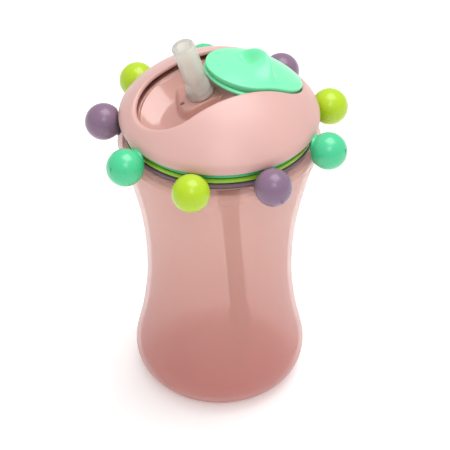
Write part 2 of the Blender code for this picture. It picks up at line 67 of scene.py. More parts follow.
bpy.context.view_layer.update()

Loop = list[Vector]
Profile = list[tuple[float, float]]


class Body(str, Enum):
    """The rigid bodies that the pieces ride on."""

    CUP = "cup"
    LID = "lid"
    COVER = "cover"
    SPOUT = "spout"
    RING_LOWER = "ring_lower"
    RING_MIDDLE = "ring_middle"
    RING_UPPER = "ring_upper"


class Slot(str, Enum):
    """The material slots of the record."""

    FROSTED = "frosted_pink"
    SATIN = "satin_pink"
    MINT = "mint"
    LIME = "lime"
    PURPLE = "purple"
    SILICONE = "silicone"
    TUBE = "tube_plastic"


class Look(str, Enum):
    """Variants of a slot's finish. The ring variants hold painted shade: a deeper tone of the slot's colour
    for rings that sit in the dome's shadow.
    """

    # the bowl's finish: glossier than the dome, with a darker colour that is painted shade of the recess
    POLISHED_SHADED_PINK = "polished_shaded_pink"
    PALE_MINT = "pale_mint"
    SHADED_MINT = "shaded_mint"
    SHADED_LIME = "shaded_lime"
    SHADED_PURPLE = "shaded_purple"


# ------------------------------------------------------------------ finishes

class Nodes:
    """A small helper that adds and links shader nodes."""

    def __init__(self, name: str) -> None:
        """Start a material with an empty Principled shader.

        Args:
            name: the material's name.
        """
        self.material = bpy.data.materials.new(name)
        self.material.use_nodes = True
        self.tree = self.material.node_tree
        self.shader = self.tree.nodes["Principled BSDF"]
        self.place = self.add("ShaderNodeTexCoord").outputs["Object"]

    def add(self, kind: str) -> bpy.types.Node:
        """Add a node of a kind and return it."""
        return self.tree.nodes.new(kind)

    def link(self, source: bpy.types.NodeSocket, target: bpy.types.NodeSocket) -> None:
        """Link one socket to another."""
        self.tree.links.new(source, target)

    def noise(self, scale: float, detail: float = 2.0, rough: float = 0.5) -> bpy.types.NodeSocket:
        """Add a noise texture in the piece's own space.

        Args:
            scale: how many features there are in a metre.
            detail: octaves of finer noise.
            rough: how strong the finer octaves are.

        Returns:
            The noise value's socket.
        """
        node = self.add("ShaderNodeTexNoise")
        node.inputs["Scale"].default_value = scale
        node.inputs["Detail"].default_value = detail
        node.inputs["Roughness"].default_value = rough
        self.link(self.place, node.inputs["Vector"])
        return node.outputs["Fac"]

    def ramp(self, value: bpy.types.NodeSocket, stops: Sequence[tuple[float, tuple]]) -> bpy.types.NodeSocket:
        """Map a value to colours through a ramp.

        Args:
            value: the socket to read.
            stops: pairs of position and linear colour.

        Returns:
            The colour's socket.
        """
        node = self.add("ShaderNodeValToRGB")
        marks = node.color_ramp.elements
        while len(marks) < len(stops):
            marks.new(0.5)
        for mark, (position, colour) in zip(marks, stops):
            mark.position = position
            mark.color = (*colour, 1.0)
        self.link(value, node.inputs["Fac"])
        return node.outputs["Color"]

    def spread(self, value: bpy.types.NodeSocket, low: float, high: float) -> bpy.types.NodeSocket:
        """Map a value from 0..1 to low..high and return the socket."""
        node = self.add("ShaderNodeMapRange")
        node.inputs["To Min"].default_value = low
        node.inputs["To Max"].default_value = high
        self.link(value, node.inputs["Value"])
        return node.outputs["Result"]

    def bump(self, height: bpy.types.NodeSocket, strength: float, distance: float) -> None:
        """Raise the surface by a height socket.

        Args:
            height: the socket to read.
            strength: share of the bump that is used.
            distance: the bump's depth in metres.
        """
        node = self.add("ShaderNodeBump")
        node.inputs["Strength"].default_value = strength
        node.inputs["Distance"].default_value = distance
        self.link(height, node.inputs["Height"])
        self.link(node.outputs["Normal"], self.shader.inputs["Normal"])


def tinted(colour: tuple, share: float) -> tuple:
    """Scale a linear colour by a share, kept within 0..1."""
    return tuple(min(1.0, part * share) for part in colour)


@dataclass(frozen=True)
class MouldedPlastic:
    """Opaque moulded plastic: a little uneven in colour and gloss, with a fine grain."""

    name: str
    colour: tuple
    roughness: float
    gloss_coat: float = 0.0
    depth_glow: float = 0.0
    grain: float = 0.06
    mottle: float = 0.05
    shine: float = 0.5

    def build(self) -> bpy.types.Material:
        """Make the material."""
        nodes = Nodes(self.name)
        shader = nodes.shader
        clouds = nodes.noise(55.0, 3.0, 0.55)
        dark, light = tinted(self.colour, 1.0 - self.mottle), tinted(self.colour, 1.0 + self.mottle)
        stops = [(0.25, dark), (0.75, light)]
        nodes.link(nodes.ramp(clouds, stops), shader.inputs["Base Color"])
        sheen = nodes.noise(420.0, 3.0, 0.6)
        rough = nodes.spread(sheen, self.roughness - 0.05, self.roughness + 0.06)
        nodes.link(rough, shader.inputs["Roughness"])
        nodes.bump(nodes.noise(900.0, 2.0, 0.5), self.grain, 0.00006)
        shader.inputs["Specular IOR Level"].default_value = self.shine
        shader.inputs["Coat Weight"].default_value = self.gloss_coat
        shader.inputs["Coat Roughness"].default_value = 0.12
        shader.inputs["Subsurface Weight"].default_value = self.depth_glow
        shader.inputs["Subsurface Radius"].default_value = (1.0, 0.6, 0.5)
        shader.inputs["Subsurface Scale"].default_value = 0.003
        return nodes.material


@dataclass(frozen=True)
class FrostedPlastic:
    """Frosted see-through plastic of the cup, darker towards the bottom, with painted shade in a deep red on
    the floor disc seen through the wall.
    """

    name: str
    upper: tuple
    lower: tuple
    # colour of the floor disc: painted shade, a deep red
    base: tuple
    height: float
    roughness: float = 0.40
    cover: float = 0.47
    base_cover: float = 0.80
    base_radius: float = 31.0 * MM
    base_height: float = 9.0 * MM
    fade: float = 9.0 * MM

    def below(self, nodes: Nodes, value: bpy.types.NodeSocket, limit: float) -> bpy.types.NodeSocket:
        """A mask that is 1 well under a limit and 0 above it.

        Args:
            nodes: the material in the making.
            value: the length to test.
            limit: where the mask reaches 0.

        Returns:
            The mask's socket.
        """
        node = nodes.add("ShaderNodeMapRange")
        node.inputs["From Min"].default_value = limit - self.fade
        node.inputs["From Max"].default_value = limit
        node.inputs["To Min"].default_value = 1.0
        node.inputs["To Max"].default_value = 0.0
        nodes.link(value, node.inputs["Value"])
        return node.outputs["Result"]

    def floor_shade_mask(self, nodes: Nodes, height: bpy.types.NodeSocket) -> bpy.types.NodeSocket:
        """A mask of the cup's floor, where painted shade is laid: inside a radius and under a height."""
        flat = nodes.add("ShaderNodeVectorMath")
        flat.operation = "MULTIPLY"
        flat.inputs[1].default_value = (1.0, 1.0, 0.0)
        nodes.link(nodes.place, flat.inputs[0])
        reach = nodes.add("ShaderNodeVectorMath")
        reach.operation = "LENGTH"
        nodes.link(flat.outputs["Vector"], reach.inputs[0])
        both = nodes.add("ShaderNodeMath")
        both.operation = "MULTIPLY"
        nodes.link(self.below(nodes, reach.outputs["Value"], self.base_radius), both.inputs[0])
        nodes.link(self.below(nodes, height, self.base_height), both.inputs[1])
        return both.outputs["Value"]

    def build(self) -> bpy.types.Material:
        """Make the material."""
        nodes = Nodes(self.name)
        shader = nodes.shader
        split = nodes.add("ShaderNodeSeparateXYZ")
        nodes.link(nodes.place, split.inputs["Vector"])
        rise = nodes.add("ShaderNodeMapRange")
        rise.inputs["From Max"].default_value = self.height
        nodes.link(split.outputs["Z"], rise.inputs["Value"])
        middle = tuple((low + high) / 2.0 for low, high in zip(self.lower, self.upper))
        stops = [(0.0, self.lower), (0.12, self.lower), (0.36, middle), (0.75, self.upper)]
        wall = nodes.ramp(rise.outputs["Result"], stops)
        mask = self.floor_shade_mask(nodes, split.outputs["Z"])
        # lay the floor disc's painted shade over the wall colour
        mix = nodes.add("ShaderNodeMix")
        mix.data_type = "RGBA"
        mix.inputs[7].default_value = (*self.base, 1.0)
        nodes.link(mask, mix.inputs[0])
        nodes.link(wall, mix.inputs[6])
        nodes.link(mix.outputs[2], shader.inputs["Base Color"])
        nodes.link(nodes.spread(mask, self.cover, self.base_cover), shader.inputs["Alpha"])
        rough = nodes.spread(nodes.noise(300.0, 3.0, 0.6), self.roughness - 0.05, self.roughness + 0.05)
        nodes.link(rough, shader.inputs["Roughness"])
        nodes.bump(nodes.noise(1100.0, 2.0, 0.5), 0.05, 0.00006)
        shader.inputs["Subsurface Weight"].default_value = 0.3
        shader.inputs["Subsurface Radius"].default_value = (1.0, 0.55, 0.45)
        shader.inputs["Subsurface Scale"].default_value = 0.004
        return nodes.material


@dataclass(frozen=True)
class Silicone:
    """Milky clear silicone with a soft, dusty sheen."""

    name: str
    colour: tuple
    roughness: float = 0.38
    clearness: float = 0.68

    def build(self) -> bpy.types.Material:
        """Make the material."""
        nodes = Nodes(self.name)
        shader = nodes.shader
        stops = [(0.3, tinted(self.colour, 0.96)), (0.7, tinted(self.colour, 1.03))]
        nodes.link(nodes.ramp(nodes.noise(140.0, 3.0, 0.6), stops), shader.inputs["Base Color"])
        rough = nodes.spread(nodes.noise(600.0, 3.0, 0.6), self.roughness - 0.06, self.roughness + 0.08)
        nodes.link(rough, shader.inputs["Roughness"])
        nodes.bump(nodes.noise(1900.0, 3.0, 0.55), 0.12, 0.0001)
        shader.inputs["Transmission Weight"].default_value = self.clearness
        shader.inputs["IOR"].default_value = 1.3
        shader.inputs["Subsurface Weight"].default_value = 0.4
        shader.inputs["Subsurface Radius"].default_value = (1.0, 1.0, 1.0)
        shader.inputs["Subsurface Scale"].default_value = 0.003
        return nodes.material


@dataclass(frozen=True)
class Floor:
    """Matt pale paper for the floor."""

    name: str = "floor_paper"
    colour: tuple = (0.93, 0.93, 0.93)
    glow: float = 0.2

    def build(self) -> bpy.types.Material:
        """Make the material."""
        nodes = Nodes(self.name)
        stops = [(0.4, tinted(self.colour, 0.995)), (0.6, self.colour)]
        nodes.link(nodes.ramp(nodes.noise(8.0), stops), nodes.shader.inputs["Base Color"])
        nodes.shader.inputs["Roughness"].default_value = 0.9
        nodes.shader.inputs["Specular IOR Level"].default_value = 0.1
        nodes.shader.inputs["Emission Color"].default_value = (1.0, 1.0, 1.0, 1.0)
        nodes.shader.inputs["Emission Strength"].default_value = self.glow
        return nodes.material


# ------------------------------------------------------------- mesh workshop

def lace(build: bmesh.types.BMesh, row: Sequence[bmesh.types.BMVert], tip: int) -> None:
    """Close a long narrow loop with faces laced across it from tip to tip.

    Args:
        build: the mesh in the making.
        row: the loop's vertices.
        tip: index of the vertex at one tip.
    """
    ring = list(row[tip:]) + list(row[:tip])
    for i in range(len(ring) // 2):
        corners = []
        for corner in (ring[i], ring[i + 1], ring[-(i + 1)], ring[-i]):
            if corner not in corners:
                corners.append(corner)
        if len(corners) > 2:
            build.faces.new(corners)


def skin(
    name: str, loops: Sequence[Loop], wrap: bool = False, caps: bool = True, tip: int | None = None
) -> bpy.types.Mesh:
    """Make a mesh through loops of equal length.

    Args:
        name: the mesh's name.
        loops: the loops, each a closed row of points.
        wrap: join the last loop to the first, as round a tube's wall.
        caps: close the first and last loop where they aren't joined.
        tip: close them by lacing from this vertex, and not with one flat face.

    Returns:
        The mesh, shaded smooth, with its faces pointing out.
    """
    build = bmesh.new()
    rows = [[build.verts.new(point) for point in loop] for loop in loops]
    count = len(rows[0])
    pairs = list(zip(rows, rows[1:]))
    if wrap:
        pairs.append((rows[-1], rows[0]))
    for low, high in pairs:
        for i in range(count):
            j = (i + 1) % count
            build.faces.new((low[i], low[j], high[j], high[i]))
    if caps and not wrap and tip is None:
        build.faces.new(list(reversed(rows[0])))
        build.faces.new(rows[-1])
    elif caps and not wrap:
        lace(build, rows[0], tip)
        lace(build, rows[-1], tip)
        bmesh.ops.recalc_face_normals(build, faces=build.faces)
    if build.calc_volume(signed=True) < 0.0:
        bmesh.ops.reverse_faces(build, faces=build.faces)
    mesh = bpy.data.meshes.new(name)
    build.to_mesh(mesh)
    build.free()
    mesh.shade_smooth()
    return mesh


def turned(name: str, profile: Profile, sides: int, closed: bool = True) -> bpy.types.Mesh:
    """Turn a profile of radius and height about Z.

    Args:
        name: the mesh's name.
        profile: the points, in metres.
        sides: how many sides the turn has.
        closed: the profile is a ring; otherwise its ends are capped.

    Returns:
        The mesh.
    """
    loops = []
    for radius, height in profile:
        ring = []
        for i in range(sides):
            turn = math.tau * i / sides
            ring.append(Vector((radius * math.cos(turn), radius * math.sin(turn), height)))
        loops.append(ring)
    return skin(name, loops, wrap=closed, caps=not closed)


def arc(centre: tuple[float, float], radius: float, start: float, end: float, steps: int) -> Profile:
    """Points on an arc, with angles in degrees from straight up towards the outside.

    Args:
        centre: radius and height of the arc's centre.
        radius: the arc's radius.
        start: the first angle.
        end: the last angle.
        steps: how many steps lie between them.

    Returns:
        The points.
    """
    turns = [math.radians(start + (end - start) * i / steps) for i in range(steps + 1)]
    return [(centre[0] + radius * math.sin(a), centre[1] + radius * math.cos(a)) for a in turns]


def smooth_line(points: Profile, per_span: int) -> Profile:
    """Points on a smooth curve (Catmull-Rom) through a profile's points.

    Args:
        points: the points to pass through.
        per_span: steps between two neighbours.

    Returns:
        The finer profile, which keeps both ends.
    """
    padded = [points[0]] + list(points) + [points[-1]]
    fine: Profile = []
    for a, b, c, d in zip(padded, padded[1:], padded[2:], padded[3:]):
        for i in range(per_span):
            t = i / per_span
            fine.append(tuple(
                0.5 * (2.0 * q + (r - p) * t + (2.0 * p - 5.0 * q + 4.0 * r - s) * t ** 2
                       + (3.0 * q - p - 3.0 * r + s) * t ** 3)
                for p, q, r, s in zip(a, b, c, d)
            ))
    fine.append(points[-1])
    return fine


def sweep(points: Sequence[Vector], radii: Sequence[float], side: Vector, sides: int) -> list[Loop]:
    """Round loops along a line that lies in one upright plane.

    Args:
        points: the centre line.
        radii: the radius at each point.
        side: the direction square to the line's plane.
        sides: how many sides each loop has.

    Returns:
        One loop for each point.
    """
    loops = []
    for i, (point, radius) in enumerate(zip(points, radii)):
        ahead = points[min(i + 1, len(points) - 1)] - points[max(i - 1, 0)]
        lift = ahead.normalized().cross(side)
        ring = []
        for k in range(sides):
            turn = math.tau * k / sides
            ring.append(point + radius * (math.cos(turn) * side + math.sin(turn) * lift))
        loops.append(ring)
    return loops


def combine(piece: bpy.types.Object, tool: bpy.types.Object, operation: str) -> None:
    """Run a Boolean with a tool object, keep its result and drop the tool.

    Args:
        piece: the object to change.
        tool: the object to add or cut with.
        operation: UNION or DIFFERENCE.
    """
    step = piece.modifiers.new("combine", "BOOLEAN")
    step.object = tool
    step.operation = operation
    step.solver = "EXACT"
    bpy.context.view_layer.update()
    graph = bpy.context.evaluated_depsgraph_get()
    mesh = bpy.data.meshes.new_from_object(piece.evaluated_get(graph), depsgraph=graph)
    piece.modifiers.clear()
    piece.data = mesh
    bpy.data.objects.remove(tool, do_unlink=True)


def loose_object(name: str, mesh: bpy.types.Mesh) -> bpy.types.Object:
    """Put a mesh in the scene as an object."""
    piece = bpy.data.objects.new(name, mesh)
    bpy.context.scene.collection.objects.link(piece)
    return piece


def soften_edges(piece: bpy.types.Object, angle: float) -> None:
    """Shade smooth but keep edges sharper than an angle in degrees."""
    piece.data.shade_smooth()
    piece.data.set_sharp_from_angle(angle=math.radians(angle))


def ease(share: float) -> float:
    """A smooth step of a share that is first kept within 0..1."""
    share = max(0.0, min(1.0, share))
    return share * share * (3.0 - 2.0 * share)


def smooth_max(a: float, b: float, width: float) -> float:
    """The larger of two lengths, with the crossing rounded over a width."""
    mix = max(0.0, min(1.0, 0.5 + 0.5 * (a - b) / width))
    return b + (a - b) * mix + width * mix * (1.0 - mix)


@dataclass
class Workshop:
    """Hands out finished pieces: dressed, riding on a body, and reported."""

    finishes: dict[Enum, bpy.types.Material]

    def piece(
        self, name: str, mesh: bpy.types.Mesh, slot: Slot, body: Body | None, replaces: Sequence[str] = (),
        look: Look | None = None,
    ) -> bpy.types.Object:
        """Make a visible piece.

        Args:
            name: the piece's name.
            mesh: its mesh, in the frame's own place.
            slot: the material slot that it takes its finish from.
            body: the body that it rides on, or None to leave it unattached.
            replaces: the CAD nodes that it stands for.
            look: a variant of the slot's finish, if it has one.

        Returns:
            The object.
        """
        piece = loose_object(name, mesh)
        self.hand_over(piece, slot, body, replaces, look)
        return piece

    def hand_over(
        self, piece: bpy.types.Object, slot: Slot, body: Body | None, replaces: Sequence[str] = (),
        look: Look | None = None,
    ) -> None:
        """Dress an object, put it on its body and report it.

        Args:
            piece: the object.
            slot: the material slot that it takes its finish from.
            body: the body that it rides on, or None to leave it unattached.
            replaces: the CAD nodes that it stands for.
            look: a variant of the slot's finish, if it has one.
        """
        piece.data.materials.clear()
        piece.data.materials.append(self.finishes[look or slot])
        if body is not None:
            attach(piece, body.value)
        if replaces:
            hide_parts(*replaces)
        LOG.info("%s: %d faces, on %s", piece.name, len(piece.data.polygons), body)

    def dress_node(self, node: str, slot: Slot) -> None:
        """Give a CAD node that stays in view its finish."""
        kept = frame["nodes"][node]
        for place in kept.material_slots:
            place.material = self.finishes[slot]
        LOG.info("%s: kept from the frame", node)


# --------------------------------------------------------- places in the lid

def joint(name: str) -> dict:
    """The record's entry for a joint."""
    return next(entry for entry in frame["record"]["behaviour"]["joints"] if entry["name"] == name)


@dataclass(frozen=True)
class Track:
    """Places about the centre that the cover slides round.

    A place is given by its angle along the track in degrees, its distance
    across it, and its radius from the centre.
    """

    centre: Vector
    along: Vector
    across: Vector

    @classmethod
    def from_frame(cls) -> "Track":
        """Read the track from the cover's joint."""
        entry = joint("cover_slide")
        across = -Vector(entry["axis"]).normalized()
        return cls(Vector(entry["pos_m"]), across.cross(UP), across)

    def ball(self, angle: float, across: float, radius: float) -> Vector:
        """The point at an angle along, a distance across and a radius."""
        swing = math.sqrt(radius * radius - across * across)
        lean = math.radians(angle)
        step = self.along * math.sin(lean) + UP * math.cos(lean)
        return self.centre + swing * step + across * self.across

    def level(self, along: float, across: float, height: float) -> Vector:
        """The point at distances along and across, at a height in the frame."""
        flat = along * self.along + across * self.across
        return Vector((self.centre.x + flat.x, self.centre.y + flat.y, height))

    def split(self, point: Vector) -> tuple[float, float]:
        """A point's distances along and across."""
        offset = point - self.centre
        return offset.dot(self.along), offset.dot(self.across)


@dataclass(frozen=True)
class Stadium:
    """An outline with round ends on the track's sphere, which can grow or shrink."""

    half_width: float
    start: float
    end: float
    radius: float
    end_steps: int = 24
    side_steps: int = 30

    def reach(self, half_width: float) -> float:
        """Degrees that a round end of a half width takes."""
        return math.degrees(math.asin(min(0.99, half_width / self.radius)))

    def outline(self, grow: float) -> list[tuple[float, float]]:
        """The outline moved outwards.

        Args:
            grow: how far it moves, or how far inwards if negative.

        Returns:
            Pairs of degrees along and metres across, counter-clockwise from the far end.
        """
        half = self.half_width + grow
        reach = self.reach(half)
        base = self.reach(self.half_width)
        near, far = self.start + base, self.end - base
        points = []
        for i in range(self.end_steps):
            a = math.radians(-90.0 + 180.0 * i / self.end_steps)
            points.append((far + reach * math.cos(a), half * math.sin(a)))
        for i in range(self.side_steps):
            points.append((far + (near - far) * i / self.side_steps, half))
        for i in range(self.end_steps):
            a = math.radians(90.0 + 180.0 * i / self.end_steps)
            points.append((near + reach * math.cos(a), half * math.sin(a)))
        for i in range(self.side_steps):
            points.append((near + (far - near) * i / self.side_steps, -half))
        return points

    def loop(self, track: Track, grow: float, radius: float) -> Loop:
        """The outline as a loop of points at a radius."""
        return [track.ball(angle, across, radius) for angle, across in self.outline(grow)]

    def rows(self, track: Track, first: float, last: float, radius: float, steps: int) -> list[Loop]:
        """Evenly spaced loops between two amounts of growth, both included."""
        return [self.loop(track, first + (last - first) * i / steps, radius) for i in range(steps + 1)]


# ----------------------------------------------------------------------- cup

@dataclass
class Cup:
    """The waisted cup: frosted shell, shoulder, neck and thread."""

    sides: int = 128
    wall: float = 1.8 * MM
    floor: float = 2.6 * MM
    neck_radius: float = 31.2 * MM
    shoulder_edge: float = 39.4 * MM
    shoulder_drop: float = 6.7 * MM
    base_flat: float = 27.2 * MM
    thread_ridge: float = 1.1 * MM
    thread_pitch: float = 4.0 * MM
    thread_start: float = 4.9 * MM
    thread_turns: float = 0.9

    def outline(self) -> Profile:
        """The outer side from just under the shoulder down to the base flat."""
        sizes = (
            (41.07, 118.0), (40.35, 114.9), (40.2, 114.2), (39.6, 113.75), (39.0, 112.9), (38.18, 109.3),
            (36.6, 103.0), (35.28, 96.9), (33.7, 90.0),
            (32.43, 83.2), (31.35, 75.8), (30.68, 68.3), (30.32, 60.8), (30.25, 53.4), (30.55, 46.4),
            (31.2, 39.8), (32.65, 29.8), (34.54, 21.1), (35.5, 16.5), (35.71, 13.2), (35.35, 9.9),
            (34.0, 6.3), (31.9, 3.3), (29.4, 1.0), (28.0, 0.2),
        )
        return smooth_line([(radius * MM, height * MM) for radius, height in sizes], 3)

    def profile(self) -> Profile:
        """The whole wall's profile, down the outside and up the inside."""
        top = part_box("cup_body")[1].z
        shoulder = top - self.shoulder_drop
        lip = 0.5 * MM
        outer = self.outline()
        rim = arc((self.neck_radius - lip, top - lip), lip, 0.0, 90.0, 4)
        neck_root = arc((self.neck_radius + lip, shoulder + lip), lip, 270.0, 180.0, 4)
        edge = arc((self.shoulder_edge, shoulder - 1.6 * MM), 1.6 * MM, 0.0, 78.0, 6)
        base = [(self.base_flat, 0.0), (0.001 * MM, 0.0), (0.001 * MM, self.floor), (24.0 * MM, self.floor)]
        inner = []
        for low, high in zip(reversed(outer[:-6]), list(reversed(outer[:-6]))[1:]):
            slope = Vector((high[0] - low[0], high[1] - low[1])).normalized()
            inner.append((low[0] - self.wall * slope.y, low[1] + self.wall * slope.x))
        inner_neck = self.neck_radius - self.wall
        inner = [point for point in inner if point[1] > self.floor + 1.0 * MM]
        close = [
            (37.6 * MM, shoulder - 2.4 * MM), (34.0 * MM, shoulder - self.wall),
            (inner_neck + 0.8 * MM, shoulder - self.wall + 0.1 * MM), (inner_neck, shoulder - 0.6 * MM),
            (inner_neck, top - lip), (inner_neck + lip, top),
        ]
        return rim + neck_root + edge + outer + base + inner + close

    def thread(self) -> list[Loop]:
        """Loops of the round thread ridge on the neck."""
        steps = 60
        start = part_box("cup_body")[1].z - self.thread_start
        points, radii = [], []
        for i in range(steps + 1):
            done = self.thread_turns * i / steps
            turn = math.tau * done
            radius = self.neck_radius - 0.2 * MM
            height = start + self.thread_pitch * done
            points.append(Vector((radius * math.cos(turn), radius * math.sin(turn), height)))
            radii.append(self.thread_ridge * max(0.15, ease(min(i, steps - i) / 6.0)))
        loops = []
        for i, (point, radius) in enumerate(zip(points, radii)):
            out = Vector((point.x, point.y, 0.0)).normalized()
            ring = [
                point + radius * (math.cos(math.tau * k / 12) * out + math.sin(math.tau * k / 12) * UP)
                for k in range(12)
            ]
            loops.append(ring)
        return loops

    def build(self, shop: Workshop) -> None:
        """Build and dress the cup.

        Args:
            shop: the workshop that hands out pieces.
        """
        shell = shop.piece(
            "cup_shell", turned("cup_shell", self.profile(), self.sides), Slot.FROSTED, Body.CUP, ["cup_body"]
        )
        soften_edges(shell, 60.0)
        ridge = shop.piece("neck_thread", skin("neck_thread", self.thread()), Slot.FROSTED, Body.CUP)
        soften_edges(ridge, 60.0)


# ----------------------------------------------------------------------- lid

@dataclass
class Dome:
    """The lid's outer dome, with a slot that has a soft rolled lip."""

    track: Track
    radius: float = 49.1 * MM
    wall: float = 2.0 * MM
    slot_half_width: float = 16.3 * MM
    slot_end: float = 46.5
    lip: float = 1.5 * MM
    collar: float = 3.4 * MM
    sphere_end: float = 53.0
    corner: float = 5.6 * MM
    bottom_radius: float = 37.0 * MM

    def polar(self, azimuths: Sequence[float], angle: float, radius: float) -> Loop:
        """A level loop on a sphere: one point for each azimuth, at an angle from straight up."""
        lean = math.radians(angle)
        return self.flat(azimuths, radius * math.sin(lean), self.track.centre.z + radius * math.cos(lean))

    def flat(self, azimuths: Sequence[float], radius: float, height: float) -> Loop:
        """A level loop of a radius at a height: one point for each azimuth."""
        return [Vector((radius * math.cos(a), radius * math.sin(a), height)) for a in azimuths]

    def fan(self, start: Loop, radius: float, end: float, steps: int) -> list[Loop]:
        """Loops on a sphere from a slot-shaped loop out to a level circle.

        Args:
            start: the slot-shaped loop.
            radius: the sphere's radius.
            end: the circle's angle from straight up, in degrees.
            steps: how many loops are made, the circle included.

        Returns:
            The loops, without the first.
        """
        centre = self.track.centre
        loops = []
        for step in range(1, steps + 1):
            share = step / steps
            ring = []
            for point in start:
                offset = point - centre
                angle = math.atan2(math.hypot(offset.x, offset.y), offset.z)
                azimuth = math.atan2(offset.y, offset.x)
                lean = angle + (math.radians(end) - angle) * share
                flat = radius * math.sin(lean)
                height = centre.z + radius * math.cos(lean)
                ring.append(Vector((flat * math.cos(azimuth), flat * math.sin(azimuth), height)))
            loops.append(ring)
        return loops

    def loops(self) -> list[Loop]:
        """The loops round the dome's wall: lip, outside, lower edge, inside."""
        slot = Stadium(self.slot_half_width, -self.slot_end, self.slot_end, self.radius)
        inside = self.radius - self.wall
        under = 0.3 * MM
        lip_rows = [(under, inside), (0.1 * MM, inside + 0.1 * MM), (0.0, inside + under)]
        for i in range(7):
            a = math.radians(15.0 * i)
            lip_rows.append((self.lip * (1.0 - math.cos(a)), self.radius - self.lip * (1.0 - math.sin(a))))
        loops = [slot.loop(self.track, grow, radius) for grow, radius in lip_rows]
        loops.append(slot.loop(self.track, (self.lip + self.collar) / 2.0, self.radius))
        loops.append(slot.loop(self.track, self.collar, self.radius))
        azimuths = [math.atan2(point.y, point.x) for point in loops[-1]]
        loops += self.fan(loops[-1], self.radius, self.sphere_end, 16)
        middle = (0.0, self.track.centre.z)
        turn_point = arc(middle, self.radius - self.corner, self.sphere_end, self.sphere_end, 1)[0]
        edge_height = turn_point[1]
        edge = turn_point[0] + self.corner
        outside = arc(turn_point, self.corner, self.sphere_end, 90.0, 8)[1:]
        roll = 0.8 * MM
        outside += arc((edge - roll, edge_height - 0.25 * MM), roll, 90.0, 180.0, 5)
        outside += [
            (self.bottom_radius + 0.4 * MM, edge_height - 1.15 * MM),
            (self.bottom_radius, edge_height - 0.8 * MM),
            (self.bottom_radius, edge_height + 0.2 * MM),
        ]
        loops += [self.flat(azimuths, radius, height) for radius, height in outside]
        loops.append(self.polar(azimuths, 54.2, inside))
        inner_collar = slot.loop(self.track, self.collar, inside)
        inner_fan = self.fan(inner_collar, inside, 54.2, 8)
        loops += list(reversed(inner_fan[:-1]))
        loops.append(inner_collar)
        return loops

    def build(self, shop: Workshop) -> None:
        """Build and dress the dome.

        Args:
            shop: the workshop that hands out pieces.
        """
        mesh = skin("dome_shell", self.loops(), wrap=True)
        dome = shop.piece("dome_shell", mesh, Slot.SATIN, Body.LID, ["lid_dome"])
        soften_edges(dome, 60.0)


